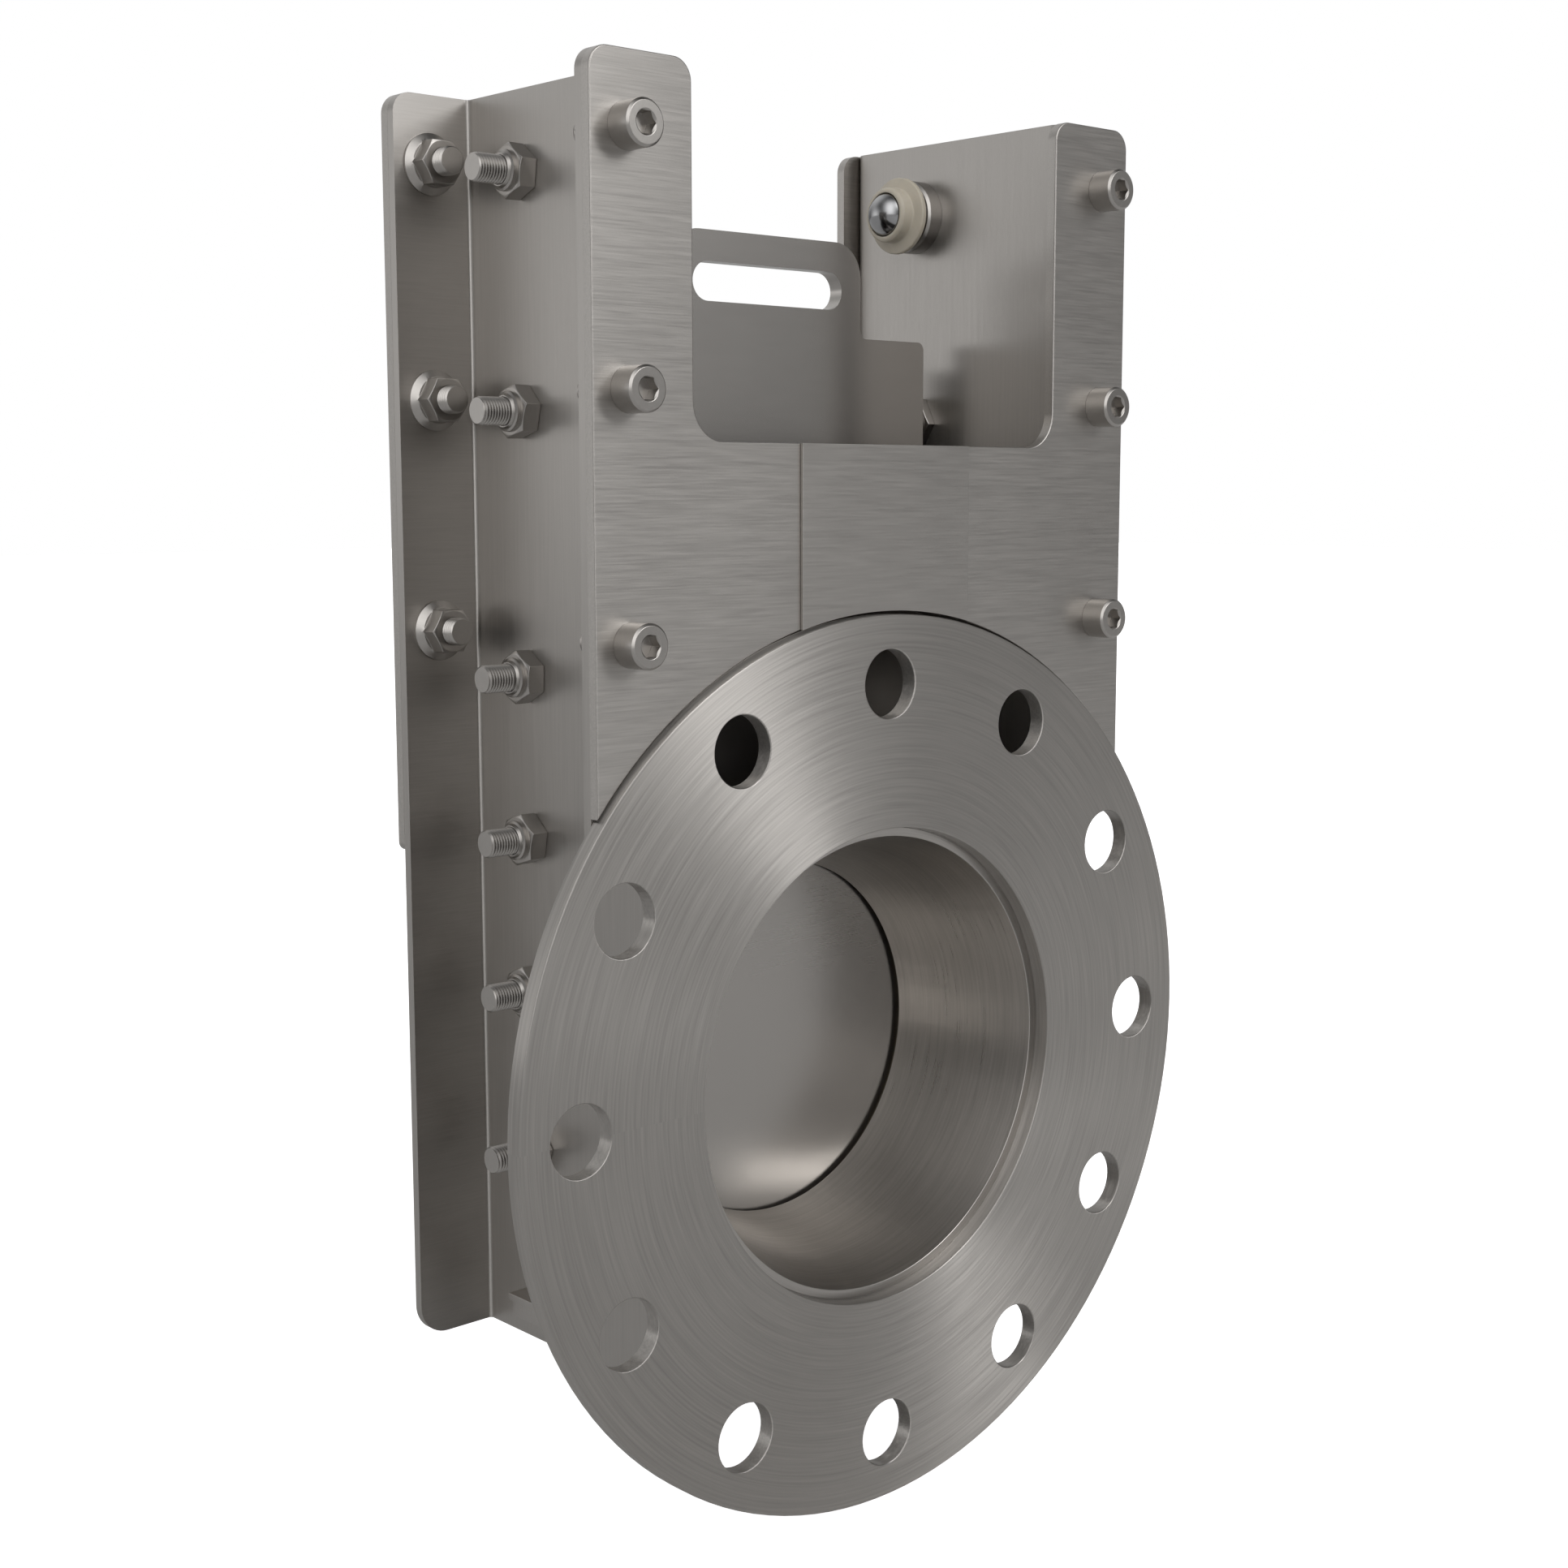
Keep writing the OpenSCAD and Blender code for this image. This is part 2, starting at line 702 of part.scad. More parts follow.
runner_screw_step = (runner_top + gate_low - 2 * runner_screw_low) / (runner_screw_count - 1);
blind_depth = gate_t * 0.75;
runner_head_d = runner_screw_d * 1.6;
runner_head_h = runner_screw_d;
runner_screw_x = ball_x - groove_r - runner_screw_wall - runner_head_d / 2;

// Places its child at each runner screw, with +Z of the child along +Y.
module runner_screw_places(y) {
    for (sx = [-1, 1], k = [0 : runner_screw_count - 1]) {
        translate([sx * runner_screw_x, y, runner_screw_low - gate_low + k * runner_screw_step])
            rotate([-90, 0, 0]) children();
    }
}

module gate_plate() {
    color(steel) difference() {
        upright(gate_y, gate_t) gate_outline();
        runner_screw_places(gate_back - blind_depth)
            cylinder(d = runner_screw_d, h = blind_depth + past, $fn = small_fn);
    }
}

// Bar on the back of the gate with a round groove for the balls along its outer side.
module runner() {
    difference() {
        translate([runner_in, gate_back, -gate_low]) cube([runner_w, runner_depth, runner_top + gate_low]);
        translate([ball_x, guide_y, -gate_low - past])
            cylinder(r = groove_r, h = runner_top + gate_low + 2 * past, $fn = round_fn);
        runner_screw_places(gate_back - past)
            cylinder(d = runner_screw_d, h = runner_depth + 2 * past, $fn = small_fn);
        runner_screw_places(runner_back - runner_head_h)
            cylinder(d = runner_head_d, h = runner_head_h + past, $fn = small_fn);
    }
}

module runner_left() { color(bright_steel) mirrored(-1) runner(); }
module runner_right() { color(bright_steel) runner(); }

module gate_foot() {
    color(bright_steel) translate([-runner_in, gate_back, -gate_low])
        cube([2 * runner_in, runner_depth, foot_h]);
}

module runner_screws() {
    shank = runner_depth - runner_head_h + blind_depth;
    color(dark_steel) runner_screw_places(gate_back - blind_depth) difference() {
        union() {
            cylinder(d = runner_screw_d, h = shank + past, $fn = small_fn);
            translate([0, 0, shank]) cylinder(d = runner_head_d, h = runner_head_h, $fn = small_fn);
        }
        translate([0, 0, shank + runner_head_h / 2])
            cylinder(d = runner_screw_d, h = runner_head_h, $fn = hex_fn);
    }
}

module ball_left_1() { guide_ball(-1, 1); }
module ball_left_2() { guide_ball(-1, 2); }
module ball_left_3() { guide_ball(-1, 3); }
module ball_left_4() { guide_ball(-1, 4); }
module ball_left_5() { guide_ball(-1, 5); }
module ball_left_6() { guide_ball(-1, 6); }
module ball_right_1() { guide_ball(1, 1); }
module ball_right_2() { guide_ball(1, 2); }
module ball_right_3() { guide_ball(1, 3); }
module ball_right_4() { guide_ball(1, 4); }
module ball_right_5() { guide_ball(1, 5); }
module ball_right_6() { guide_ball(1, 6); }

front_plate();
name_plate();
back_plate();
lower_back_plate();
bottom_plate();
left_channel();
right_channel();
front_flange();
inlet_spout();
inlet_weld();
seat_ring();
outlet_stub();
outlet_weld();
stop_bar();
stop_strip();
front_screws();
rear_screws();
front_nuts();
rear_nuts();
guide_studs_left();
guide_studs_right();
lock_nuts_left();
lock_nuts_right();
jam_nuts_left();
jam_nuts_right();
ball_housings_left();
ball_housings_right();
gate_plate();
runner_left();
runner_right();
gate_foot();
runner_screws();
ball_left_1();
ball_left_2();
ball_left_3();
ball_left_4();
ball_left_5();
ball_left_6();
ball_right_1();
ball_right_2();
ball_right_3();
ball_right_4();
ball_right_5();
ball_right_6();
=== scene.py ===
import math

import bmesh
import bpy
from mathutils import Matrix, Vector


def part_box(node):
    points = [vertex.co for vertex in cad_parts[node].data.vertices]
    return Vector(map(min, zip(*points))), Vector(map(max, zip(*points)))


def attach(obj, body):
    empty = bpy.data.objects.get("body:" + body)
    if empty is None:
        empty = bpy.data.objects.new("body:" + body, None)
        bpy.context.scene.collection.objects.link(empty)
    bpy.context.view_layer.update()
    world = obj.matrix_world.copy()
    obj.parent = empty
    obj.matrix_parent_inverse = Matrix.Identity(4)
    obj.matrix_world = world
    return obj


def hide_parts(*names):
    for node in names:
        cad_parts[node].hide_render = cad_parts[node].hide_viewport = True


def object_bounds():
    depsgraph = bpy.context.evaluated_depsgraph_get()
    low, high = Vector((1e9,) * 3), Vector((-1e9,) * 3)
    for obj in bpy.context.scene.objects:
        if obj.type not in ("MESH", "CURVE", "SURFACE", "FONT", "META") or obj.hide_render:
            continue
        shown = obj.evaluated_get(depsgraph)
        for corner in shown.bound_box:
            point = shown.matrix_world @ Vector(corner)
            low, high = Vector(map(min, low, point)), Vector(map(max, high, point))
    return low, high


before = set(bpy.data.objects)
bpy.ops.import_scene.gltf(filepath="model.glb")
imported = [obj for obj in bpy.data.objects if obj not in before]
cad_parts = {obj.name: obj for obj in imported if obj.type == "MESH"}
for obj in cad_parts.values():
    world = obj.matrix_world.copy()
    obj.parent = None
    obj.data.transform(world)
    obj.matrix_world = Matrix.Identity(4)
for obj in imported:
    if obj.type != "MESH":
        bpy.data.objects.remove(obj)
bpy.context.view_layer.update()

MM = 0.001
VALVE, GATE_BODY = "valve_body", "gate"

# Camera, solved by a least squares fit to the flange's holes, outer edge and bore in the photograph

CAMERA_PLACE = (-0.53629, -0.53506, 0.20012)
CAMERA_TURN = (82.484, 0.086, -42.296)
CAMERA_LENS, CAMERA_SENSOR = 50.66, 36.0
CAMERA_RANGE = (0.01, 50.0)


def make_camera():
    data = bpy.data.cameras.new("camera")
    data.lens = CAMERA_LENS
    data.sensor_width = CAMERA_SENSOR
    data.clip_start, data.clip_end = CAMERA_RANGE
    camera = bpy.data.objects.new("camera", data)
    bpy.context.collection.objects.link(camera)
    camera.location = CAMERA_PLACE
    camera.rotation_euler = [math.radians(a) for a in CAMERA_TURN]
    bpy.context.scene.camera = camera


make_camera()

# Shader node helpers

FLOAT, VECTOR = "NodeSocketFloat", "NodeSocketVector"
NOISE_LOW, NOISE_HIGH = 0.25, 0.75


def put(tree, kind, **settings):
    node = tree.nodes.new(kind)
    for name, value in settings.items():
        setattr(node, name, value)
    return node


def feed(tree, target, source):
    """Links source to the target socket, or sets the socket if source is a plain value."""
    if isinstance(source, bpy.types.NodeSocket):
        tree.links.new(source, target)
    else:
        target.default_value = source


def math_node(tree, operation, a, b=0.5):
    node = put(tree, "ShaderNodeMath", operation=operation)
    feed(tree, node.inputs[0], a)
    feed(tree, node.inputs[1], b)
    return node.outputs[0]


def blend(tree, main, other, share):
    """The main value with a share of the other."""
    return math_node(tree, "ADD", math_node(tree, "MULTIPLY", main, 1 - share),
                     math_node(tree, "MULTIPLY", other, share))


def vector_node(tree, operation, a, b=(0, 0, 0)):
    node = put(tree, "ShaderNodeVectorMath", operation=operation)
    feed(tree, node.inputs[0], a)
    feed(tree, node.inputs[1], b)
    return node.outputs["Value" if operation in ("DOT_PRODUCT", "LENGTH") else "Vector"]


def either(tree, mask, first, second):
    """The second vector where the mask is 1, and the first where it is 0."""
    mix = put(tree, "ShaderNodeMix", data_type="VECTOR")
    feed(tree, mix.inputs["Factor"], mask)
    vectors = [s for s in mix.inputs if s.type == "VECTOR" and s.name in "AB"]
    for socket, value in zip(vectors, (first, second)):
        feed(tree, socket, value)
    return next(s for s in mix.outputs if s.type == "VECTOR")


def noise(tree, vector, scale, detail=2.0, rough=0.5):
    node = put(tree, "ShaderNodeTexNoise")
    feed(tree, node.inputs["Vector"], vector)
    feed(tree, node.inputs["Scale"], scale)
    feed(tree, node.inputs["Detail"], detail)
    feed(tree, node.inputs["Roughness"], rough)
    return node.outputs["Fac"]


def spread(tree, fac, low, high):
    """A noise value, whose middle half is stretched to run from low to high."""
    span = put(tree, "ShaderNodeMapRange")
    feed(tree, span.inputs["Value"], fac)
    ends = {"From Min": NOISE_LOW, "From Max": NOISE_HIGH, "To Min": low, "To Max": high}
    for label, value in ends.items():
        feed(tree, span.inputs[label], value)
    return span.outputs[0]


def tinted(tree, fac, color, contrast):
    """The colour, darker and lighter by the contrast as a noise value goes down and up."""
    mix = put(tree, "ShaderNodeMix", data_type="RGBA")
    feed(tree, mix.inputs["Factor"], spread(tree, fac, 0.0, 1.0))
    dark, light = (s for s in mix.inputs if s.type == "RGBA")
    dark.default_value = (*(c * (1 - contrast) for c in color), 1.0)
    light.default_value = (*(c * (1 + contrast) for c in color), 1.0)
    return next(s for s in mix.outputs if s.type == "RGBA")


def effect_group(name, inputs, outputs):
    """An empty node group with its sockets, and its input and output nodes."""
    tree = bpy.data.node_groups.new(name, "ShaderNodeTree")
    for label, kind, value in inputs:
        socket = tree.interface.new_socket(label, in_out="INPUT", socket_type=kind)
        if value is not None:
            socket.default_value = value
    for label in outputs:
        tree.interface.new_socket(label, in_out="OUTPUT", socket_type=FLOAT)
    return tree, put(tree, "NodeGroupInput").outputs, put(tree, "NodeGroupOutput").inputs


TURN_LENGTH = 0.1  # metres that stand for one radian of a turned finish
BROAD_STRETCH, BROAD_SHARE = (0.5, 0.35, 0.35), 0.25
PATCH_SCALE, PATCH_DETAIL, PATCH_ROUGH = 11.0, 3.0, 0.55


def brushed_grain_group():
    """Scratches of a brushed finish, all round 0.5. Stretch is how often they repeat along X, Y
    and Z in a metre. With Turned at 1 they run in circles round the Y axis, and X is the angle."""
    tree, get, out = effect_group(
        "brushed_grain",
        [("Vector", VECTOR, None), ("Stretch", VECTOR, (60, 1700, 1700)), ("Turned", FLOAT, 0.0)],
        ["Grain", "Patches", "Height"],
    )
    split = put(tree, "ShaderNodeSeparateXYZ")
    feed(tree, split.inputs[0], get["Vector"])
    x, y, z = split.outputs
    radius = vector_node(tree, "LENGTH", vector_node(tree, "MULTIPLY", get["Vector"], (1, 0, 1)))
    angle = math_node(tree, "ARCTAN2", z, x)
    join = put(tree, "ShaderNodeCombineXYZ")
    feed(tree, join.inputs[0], math_node(tree, "MULTIPLY", angle, TURN_LENGTH))
    feed(tree, join.inputs[1], radius)
    feed(tree, join.inputs[2], y)
    place = either(tree, get["Turned"], get["Vector"], join.outputs[0])
    fine_place = vector_node(tree, "MULTIPLY", place, get["Stretch"])
    fine = noise(tree, fine_place, 1.0)
    broad = noise(tree, vector_node(tree, "MULTIPLY", fine_place, BROAD_STRETCH), 1.0)
    feed(tree, out["Grain"], blend(tree, fine, broad, BROAD_SHARE))
    feed(tree, out["Patches"], noise(tree, get["Vector"], PATCH_SCALE, PATCH_DETAIL, PATCH_ROUGH))
    feed(tree, out["Height"], fine)
    return tree


BRUSHED_GRAIN = brushed_grain_group()


def use(tree, effect, **values):
    node = put(tree, "ShaderNodeGroup", node_tree=effect)
    for label, value in values.items():
        feed(tree, node.inputs[label], value)
    return node.outputs


# Finishes

STEEL = (0.420, 0.401, 0.380)
BALL_STEEL = (0.36, 0.36, 0.365)
CREAM = (0.50, 0.455, 0.375)
GRAIN_ALONG_X = (60, 1700, 1700)
GRAIN_ALONG_Z = (1700, 1700, 40)
GRAIN_ROUND = (30, 1300, 1300)
UP, AXIAL, RADIAL, FOLDED = (0, 0, 1), (0, 1, 0), "radial", "folded"
PATCH_SHARE, PATCH_UNEVEN, SATIN_UNEVEN = 0.25, 0.02, 0.012
SCRATCH_DEPTH, CLOUD_DEPTH = 0.0002, 0.0001


def new_material(name):
    material = bpy.data.materials.new(name)
    material.use_nodes = True
    return material, material.node_tree, material.node_tree.nodes["Principled BSDF"]


def shade(color, factor):
    return tuple(c * factor for c in color)


def add_relief(tree, shader, height, strength, depth):
    relief = put(tree, "ShaderNodeBump")
    feed(tree, relief.inputs["Strength"], strength)
    feed(tree, relief.inputs["Distance"], depth)
    feed(tree, relief.inputs["Height"], height)
    feed(tree, shader.inputs["Normal"], relief.outputs[0])


def brushed_steel(name, color, stretch, rough, across, contrast=0.12, relief=0.12, anisotropy=0.6,
                  round_axis=False, uneven=0.05):
    """Brushed sheet. Across is the direction in which highlights spread over the scratches. On a
    folded sheet, and on a round one's walls, it depends on whether a face looks to the front or
    back. Round_axis makes the scratches run in circles round the bore's axis."""
    material, tree, shader = new_material(name)
    coordinates = put(tree, "ShaderNodeTexCoord").outputs
    place = coordinates["Object"]
    split = put(tree, "ShaderNodeSeparateXYZ")
    feed(tree, split.inputs[0], coordinates["Normal"])
    depth_share = math_node(tree, "ABSOLUTE", split.outputs["Y"])
    facing = math_node(tree, "GREATER_THAN", depth_share, 0.5)
    if across == FOLDED:
        stretch = either(tree, facing, stretch, GRAIN_ALONG_X)
        across = either(tree, facing, AXIAL, UP)
    elif across == RADIAL:
        across = either(tree, facing, AXIAL, vector_node(tree, "MULTIPLY", place, (1, 0, 1)))
    grain = use(tree, BRUSHED_GRAIN, Vector=place, Stretch=stretch, Turned=float(round_axis))
    tone = blend(tree, grain["Grain"], grain["Patches"], PATCH_SHARE)
    feed(tree, shader.inputs["Base Color"], tinted(tree, tone, color, contrast))
    feed(tree, shader.inputs["Roughness"], math_node(
        tree, "ADD", spread(tree, grain["Grain"], rough - uneven, rough + uneven),
        spread(tree, grain["Patches"], -PATCH_UNEVEN, PATCH_UNEVEN)))
    feed(tree, shader.inputs["Metallic"], 1.0)
    feed(tree, shader.inputs["Anisotropic"], anisotropy)
    feed(tree, shader.inputs["Tangent"], vector_node(tree, "NORMALIZE", across))
    add_relief(tree, shader, grain["Height"], relief, SCRATCH_DEPTH)
    return material


def satin_steel(name, color, rough, scale=700.0, contrast=0.03, relief=0.01):
    """Plain machined or polished steel with faint clouding."""
    material, tree, shader = new_material(name)
    place = put(tree, "ShaderNodeTexCoord").outputs["Object"]
    cloud = noise(tree, place, scale, 3.0, 0.6)
    feed(tree, shader.inputs["Base Color"], tinted(tree, cloud, color, contrast))
    feed(tree, shader.inputs["Roughness"],
         spread(tree, cloud, rough - SATIN_UNEVEN, rough + SATIN_UNEVEN))
    feed(tree, shader.inputs["Metallic"], 1.0)
    add_relief(tree, shader, cloud, relief, CLOUD_DEPTH)
    return material


def moulded_nylon(name, color):
    """Natural nylon, which lets a little light in."""
    material, tree, shader = new_material(name)
    place = put(tree, "ShaderNodeTexCoord").outputs["Object"]
    cloud = noise(tree, place, 260.0, 3.0, 0.55)
    feed(tree, shader.inputs["Base Color"], tinted(tree, cloud, color, 0.04))
    feed(tree, shader.inputs["Roughness"], spread(tree, cloud, 0.4, 0.5))
    feed(tree, shader.inputs["Subsurface Weight"], 0.15)
    feed(tree, shader.inputs["Subsurface Radius"], (0.002, 0.0016, 0.001))
    feed(tree, shader.inputs["Subsurface Scale"], 1.0)
    add_relief(tree, shader, cloud, 0.08, SCRATCH_DEPTH)
    return material


PLATE = brushed_steel("plate_steel", STEEL, GRAIN_ALONG_X, 0.36, UP, contrast=0.15, relief=0.14)
CHANNEL = brushed_steel("channel_steel", STEEL, GRAIN_ALONG_Z, 0.38, FOLDED, contrast=0.09,
                        relief=0.1)
FLANGE = brushed_steel("flange_steel", STEEL, GRAIN_ROUND, 0.4, RADIAL, contrast=0.24, relief=0.2,
                       anisotropy=0.93, round_axis=True)
TURNED = brushed_steel("turned_steel", shade(STEEL, 1.04), GRAIN_ROUND, 0.29, AXIAL, contrast=0.18,
                       relief=0.05, round_axis=True, uneven=0.015)
GATE = brushed_steel("gate_steel", shade(STEEL, 0.97), GRAIN_ALONG_X, 0.26, UP, contrast=0.02,
                     relief=0.01, anisotropy=0.3, uneven=0.01)
SMOOTH = brushed_steel("smooth_steel", STEEL, GRAIN_ALONG_X, 0.34, UP, contrast=0.08, relief=0.08)
FASTENER = satin_steel("fastener_steel", shade(STEEL, 0.96), 0.29)
CHROME = satin_steel("ball_chrome", BALL_STEEL, 0.18, scale=300.0, contrast=0.06)
NYLON = moulded_nylon("nylon", CREAM)

# Dressed CAD pieces

PLATE_EDGE, GATE_EDGE, HOUSING_EDGE = 0.5 * MM, 0.4 * MM, 0.5 * MM
THIN_EDGE, JAM_NUT_EDGE, LOCK_NUT_EDGE = 0.25 * MM, 0.3 * MM, 0.22 * MM

def merged_copy(node):
    """A bmesh of a CAD node with its doubles merged and its flat faces joined."""
    bm = bmesh.new()
    bm.from_mesh(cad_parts[node].data)
    bmesh.ops.remove_doubles(bm, verts=bm.verts, dist=0.002 * MM)
    bmesh.ops.dissolve_limit(bm, angle_limit=math.radians(0.4), verts=bm.verts, edges=bm.edges)
    return bm


def smooth_by_angle(bm, angle=35.0):
    limit = math.radians(angle)
    for face in bm.faces:
        face.smooth = True
    for edge in bm.edges:
        edge.smooth = len(edge.link_faces) == 2 and edge.calc_face_angle(0.0) < limit


def finished_piece(bm, material, body, node, even=True):
    """Makes the finished piece that takes a CAD node's place, with its finish and body."""
    mesh = bpy.data.meshes.new(node + "_finished")
    bm.to_mesh(mesh)
    bm.free()
    mesh.materials.append(material)
    piece = bpy.data.objects.new(mesh.name, mesh)
    bpy.context.collection.objects.link(piece)
    if even:
        piece.modifiers.new("even_normals", "WEIGHTED_NORMAL").keep_sharp = True
    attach(piece, body)
    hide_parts(node)
    return piece


def break_edges(bm, width, segments=2, angle=30.0, chosen=None):
    """Rounds the sharp edges, or those of them that are chosen."""
    limit = math.radians(angle)
    edges = [e for e in bm.edges if len(e.link_faces) == 2 and e.calc_face_angle(0.0) > limit]
    edges = [e for e in edges if chosen is None or chosen(e)]
    bmesh.ops.bevel(bm, geom=edges, offset=width, offset_type="OFFSET", segments=segments,
                    profile=0.5, affect="EDGES", clamp_overlap=True, material=-1)


def dress(node, material, body, edge, segments=2):
    """A copy of a CAD node with its sharp edges broken."""
    bm = merged_copy(node)
    break_edges(bm, edge, segments)
    smooth_by_angle(bm)
    finished_piece(bm, material, body, node)


def dress_plate(node, outwards):
    """A plate whose edges are rounded on its outer side alone, so that its seam stays tight."""
    bm = merged_copy(node)
    outer = max(v.co.y * outwards for v in bm.verts) - 0.1 * MM
    break_edges(bm, PLATE_EDGE, 3,
                chosen=lambda edge: all(v.co.y * outwards > outer for v in edge.verts))
    smooth_by_angle(bm)
    finished_piece(bm, PLATE, VALVE, node)


dress_plate("front_plate", -1)
dress_plate("back_plate", 1)
for node in ("lower_back_plate", "bottom_plate"):
    dress(node, PLATE, VALVE, THIN_EDGE)
for node in ("left_channel", "right_channel"):
    dress(node, CHANNEL, VALVE, THIN_EDGE, 3)
dress("front_flange", FLANGE, VALVE, PLATE_EDGE, 3)
for node in ("inlet_spout", "inlet_weld", "outlet_stub", "outlet_weld"):
    dress(node, TURNED, VALVE, THIN_EDGE)
dress("seat_ring", NYLON, VALVE, THIN_EDGE)
for node in ("name_plate", "stop_bar", "stop_strip"):
    dress(node, SMOOTH, VALVE, THIN_EDGE)
for node in ("jam_nuts_left", "jam_nuts_right"):
    dress(node, FASTENER, VALVE, JAM_NUT_EDGE)
for node in ("ball_housings_left", "ball_housings_right"):
    dress(node, NYLON, VALVE, HOUSING_EDGE, 3)

# The gate's hand slot as the photograph shows it, lower than in the solid
CUT_SLOT = {"len": 70.4 * MM, "h": 17.4 * MM, "z": 274.3 * MM}
SEEN_SLOT = {"len": 71.2 * MM, "h": 13.6 * MM, "z": 273.25 * MM}
SLOT_MARGIN = 0.1 * MM


def slimmer_slot(bm):
    """Moves the rim of the gate's hand slot from its cut shape to the seen one."""
    share = SEEN_SLOT["h"] / CUT_SLOT["h"]
    for vert in bm.verts:
        x, z = abs(vert.co.x), vert.co.z - CUT_SLOT["z"]
        in_length = x < CUT_SLOT["len"] / 2 + SLOT_MARGIN
        if in_length and abs(z) < CUT_SLOT["h"] / 2 + SLOT_MARGIN:
            past_straight = x - (CUT_SLOT["len"] - CUT_SLOT["h"]) / 2
            x = (SEEN_SLOT["len"] - SEEN_SLOT["h"]) / 2 + past_straight * share
            vert.co.x = math.copysign(x, vert.co.x)
            vert.co.z = SEEN_SLOT["z"] + z * share


bm = merged_copy("gate_plate")
slimmer_slot(bm)
break_edges(bm, GATE_EDGE)
smooth_by_angle(bm)
finished_piece(bm, GATE, GATE_BODY, "gate_plate")
for node in ("runner_left", "runner_right", "gate_foot"):
    dress(node, SMOOTH, GATE_BODY, THIN_EDGE)
dress("runner_screws", FASTENER, GATE_BODY, THIN_EDGE)

# Threads, nuts and balls

PITCH = 1.1 * MM
THREAD_DEPTH = 0.65 * MM
THREAD_STEPS = 24
# A tooth's profile: shares of the depth and of the pitch
TOOTH = [(0, 0.0), (1, 0.44), (1, 0.56), (0, 1.0)]
TIP_BEVEL = 0.5 * MM
# How deep in its nut a rod's thread starts, and how far round each rod starts from the one before
NUT_COVER, START_TURN = 1.0 * MM, 1.7
COLLAR_HEIGHT = 2.8 * MM
STUD_HOLE = 4.8 * MM
UNDERCUT, UNDERCUT_SHARE = 0.5 * MM, 0.9
# The collar's step: its height and slope as shares of the collar's height, and what it leaves
COLLAR_STEP, COLLAR_SLOPE, COLLAR_SHARE = 0.4, 0.15, 0.6
CUT_SLACK = 0.001 * MM


def solids(bm):
    """The vertices of each separate solid in the mesh."""
    left = set(bm.verts)
    while left:
        solid, to_visit = set(), [left.pop()]
        while to_visit:
            vert = to_visit.pop()
            solid.add(vert)
            near = {e.other_vert(vert) for e in vert.link_edges} & left
            left -= near
            to_visit += near
        yield solid


def box_middle(verts):
    spans = [[v.co[k] for v in verts] for k in range(3)]
    return Vector([(min(span) + max(span)) / 2 for span in spans])


def cut_across(bm, direction, along, clear=False):
    """Cuts the mesh across the direction, and clears what is past the cut if asked to."""
    return bmesh.ops.bisect_plane(bm, geom=[*bm.verts, *bm.edges, *bm.faces], dist=CUT_SLACK,
                                  plane_co=direction * along, plane_no=direction,
                                  clear_outer=clear)["geom_cut"]


def rim_of(cut):
    return [g for g in cut if isinstance(g, bmesh.types.BMEdge)]


def rod_axes(node, direction):
    """A point on each rod's axis, at the plane through the origin across the direction. The
    points are sorted, because solids() finds the rods in no fixed order."""
    bm = merged_copy(node)
    middles = [box_middle(solid) for solid in solids(bm)]
    bm.free()
    axes = [m - direction * m.dot(direction) for m in middles]
    return sorted(axes, key=lambda axis: [round(value / MM) for value in axis])


def threaded_end(radius, length):
    """A mesh of a threaded rod along +Z from the origin, with a bevelled tip."""
    bm = bmesh.new()
    root = radius - THREAD_DEPTH
    turns = int(length / PITCH) + 3
    verts = [bm.verts.new((radius if high else root, 0, (share - 1) * PITCH))
             for high, share in TOOTH]
    edges = [bm.edges.new(pair) for pair in zip(verts, verts[1:])]
    bmesh.ops.spin(bm, geom=verts + edges, cent=(0, 0, 0), axis=UP, angle=turns * 2 * math.pi,
                   dvec=(0, 0, PITCH / THREAD_STEPS), steps=turns * THREAD_STEPS, use_merge=False)
    bmesh.ops.remove_doubles(bm, verts=bm.verts, dist=0.01 * MM)
    for z, outwards in ((0.0, -1), (length, 1)):
        rim = rim_of(cut_across(bm, Vector((0, 0, outwards)), z * outwards, clear=True))
        if outwards > 0:
            for vert in bm.verts:
                most = radius - max(0.0, vert.co.z - length + TIP_BEVEL)
                far = math.hypot(vert.co.x, vert.co.y)
                if far > most:
                    vert.co.xy = vert.co.xy * (most / far)
        bmesh.ops.edgeloop_fill(bm, edges=rim)
    bmesh.ops.recalc_face_normals(bm, faces=bm.faces)
    smooth_by_angle(bm)
    mesh = bpy.data.meshes.new("threaded_end")
    bm.to_mesh(mesh)
    bm.free()
    return mesh


def threaded_rods(node, nut_node, direction):
    """Dresses studs or screws along the direction, threaded where they leave their nuts."""
    axes = rod_axes(node, direction)
    start = max(corner.dot(direction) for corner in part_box(nut_node)) - NUT_COVER
    tip = max(corner.dot(direction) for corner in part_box(node))
    bm = merged_copy(node)
    rim = rim_of(cut_across(bm, direction, start, clear=True))
    shank = rim[0].verts[0].co
    radius = min((shank - direction * shank.dot(direction) - axis).length for axis in axes)
    bmesh.ops.edgeloop_fill(bm, edges=rim)
    break_edges(bm, THIN_EDGE)
    smooth_by_angle(bm)
    end = threaded_end(radius, tip - start)
    turn = Vector((0, 0, 1)).rotation_difference(direction).to_matrix().to_4x4()
    for number, axis in enumerate(axes):
        placed = end.copy()
        spun = Matrix.Rotation(number * START_TURN, 4, "Z")
        placed.transform(Matrix.Translation(axis + direction * start) @ turn @ spun)
        bm.from_mesh(placed)
    finished_piece(bm, FASTENER, VALVE, node)


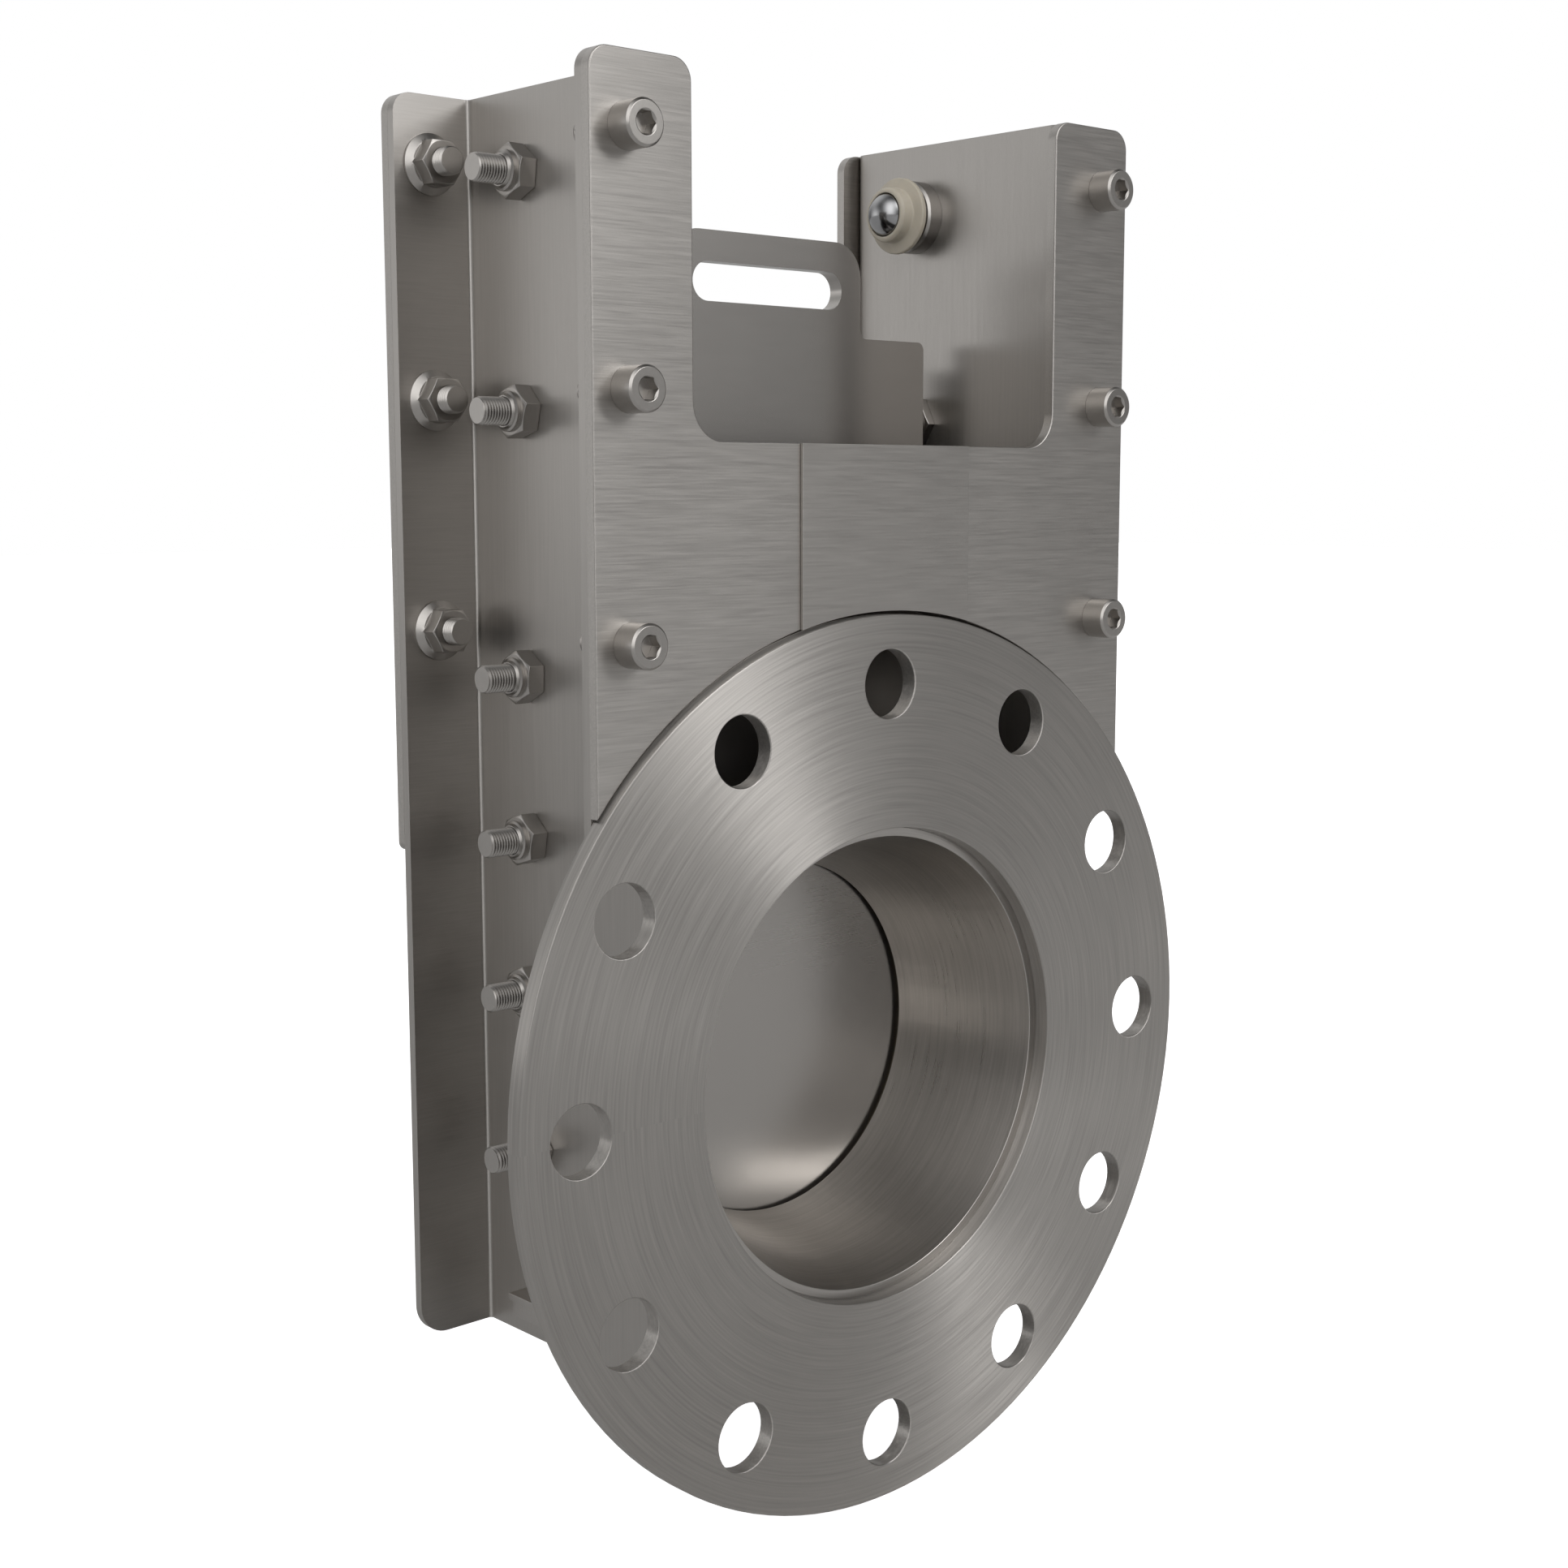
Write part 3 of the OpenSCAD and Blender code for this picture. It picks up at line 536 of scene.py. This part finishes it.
def lock_nuts(node, direction):
    """Lock nuts whose round collar steps in towards its end, with an undercut where they sit."""
    axes = rod_axes(node, direction)
    ends = [corner.dot(direction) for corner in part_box(node)]
    seat, step = min(ends) + UNDERCUT, max(ends) - COLLAR_HEIGHT * COLLAR_STEP
    bm = merged_copy(node)
    for along in (seat, step - COLLAR_HEIGHT * COLLAR_SLOPE, step):
        cut_across(bm, direction, along)
    for vert in bm.verts:
        along = vert.co.dot(direction)
        flat = vert.co - direction * along
        axis = min(axes, key=lambda a: (flat - a).length)
        out = flat - axis
        share = 1
        if along < seat - 0.1 * MM:
            share = UNDERCUT_SHARE
        elif along > step - 0.01 * MM:
            share = COLLAR_SHARE
        if share < 1 and out.length > STUD_HOLE + 0.2 * MM:
            reach = STUD_HOLE + (out.length - STUD_HOLE) * share
            vert.co = axis + out.normalized() * reach + direction * along
    break_edges(bm, LOCK_NUT_EDGE)
    smooth_by_angle(bm)
    finished_piece(bm, FASTENER, VALVE, node)


def make_ball(side, row):
    """A guide's ball as a smooth sphere."""
    node = "ball_%s_%d" % (side, row)
    low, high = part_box(node)
    bm = bmesh.new()
    bmesh.ops.create_icosphere(bm, subdivisions=5, radius=(high.y - low.y) / 2,
                               matrix=Matrix.Translation((low + high) / 2))
    for face in bm.faces:
        face.smooth = True
    finished_piece(bm, CHROME, "%s_ball_%d" % (side, row), node, even=False)


for side, outwards in (("left", -1), ("right", 1)):
    threaded_rods("guide_studs_" + side, "lock_nuts_" + side, Vector((outwards, 0, 0)))
    lock_nuts("lock_nuts_" + side, Vector((outwards, 0, 0)))
    for row in range(1, 7):
        make_ball(side, row)
threaded_rods("front_screws", "front_nuts", Vector((0, 1, 0)))
threaded_rods("rear_screws", "rear_nuts", Vector((0, -1, 0)))
for node in ("front_nuts", "rear_nuts"):
    dress(node, FASTENER, VALVE, THIN_EDGE)

# Floor, world and lamps

FLOOR_HALF_SIZE, FLOOR_ROUGH, FLOOR_GLOW = 12.0, 0.9, 0.95
FLOOR_COLOR = (0.66, 0.66, 0.66, 1.0)
WHITE = (1, 1, 1, 1)
# Soft lights of the world: degrees to the right of the front, degrees up, narrowness and strength.
# A least squares fit of trial renders to the photograph's tones chose the first seven from a grid
# of directions and gave their strengths, here rounded. The last two were given apart from that fit.
LOBES = [
    (12, 41, 24, 2.3), (36, 18, 24, 0.7), (36, 41, 24, 0.8), (90, 10, 8, 0.3),
    (230, -5, 8, 1.35), (315, 10, 8, 1.5), (315, 45, 8, 1.5), (190, 45, 8, 0.8),
    (142, 22, 8, 0.7),
]
# The same fit chose the key lamp's place out of nine, and gave its power in watts.
KEY_PLACE, KEY_SIZE, KEY_POWER = (0.89, -2.14, 1.15), 0.7, 10.0
KEY_AIM = (0.0, 0.06, 0.09)


def make_floor():
    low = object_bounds()[0]
    bm = bmesh.new()
    bmesh.ops.create_grid(bm, x_segments=1, y_segments=1, size=FLOOR_HALF_SIZE,
                          matrix=Matrix.Translation((0, 0, low.z)))
    mesh = bpy.data.meshes.new("floor")
    bm.to_mesh(mesh)
    bm.free()
    floor = bpy.data.objects.new("floor", mesh)
    bpy.context.collection.objects.link(floor)
    material, tree, shader = new_material("floor_white")
    feed(tree, shader.inputs["Roughness"], FLOOR_ROUGH)
    feed(tree, shader.inputs["Specular IOR Level"], 0.0)
    feed(tree, shader.inputs["Base Color"], FLOOR_COLOR)
    path = put(tree, "ShaderNodeLightPath").outputs
    feed(tree, shader.inputs["Emission Color"], WHITE)
    feed(tree, shader.inputs["Emission Strength"], math_node(
        tree, "MULTIPLY", path["Is Camera Ray"], FLOOR_GLOW))
    mesh.materials.append(material)


def lobe(tree, direction, right, up, power, strength):
    """Soft light from the world round one direction."""
    right, up = math.radians(right), math.radians(up)
    aim = (math.cos(up) * math.sin(right), -math.cos(up) * math.cos(right), math.sin(up))
    facing = math_node(tree, "MAXIMUM", vector_node(tree, "DOT_PRODUCT", direction, aim), 0.0)
    return math_node(tree, "MULTIPLY", math_node(tree, "POWER", facing, power), strength)


def make_world():
    """White to the camera, and the soft lights alone to everything else."""
    world = bpy.data.worlds.new("studio")
    bpy.context.scene.world = world
    world.use_nodes = True
    tree = world.node_tree
    back = tree.nodes["Background"]
    direction = vector_node(tree, "NORMALIZE", put(tree, "ShaderNodeTexCoord").outputs["Generated"])
    light = 0.0
    for values in LOBES:
        light = math_node(tree, "ADD", lobe(tree, direction, *values), light)
    path = put(tree, "ShaderNodeLightPath").outputs
    light = math_node(tree, "MAXIMUM", light, path["Is Camera Ray"])
    feed(tree, back.inputs["Color"], WHITE)
    feed(tree, back.inputs["Strength"], light)


def make_key_lamp():
    data = bpy.data.lights.new("key", "AREA")
    data.shape = "SQUARE"
    data.size = KEY_SIZE
    data.energy = KEY_POWER
    lamp = bpy.data.objects.new("key", data)
    bpy.context.collection.objects.link(lamp)
    lamp.location = KEY_PLACE
    aim = Vector(KEY_AIM) - Vector(KEY_PLACE)
    lamp.rotation_euler = aim.to_track_quat("-Z", "Y").to_euler()


make_floor()
make_world()
make_key_lamp()

bpy.context.scene.view_settings.view_transform = "Standard"
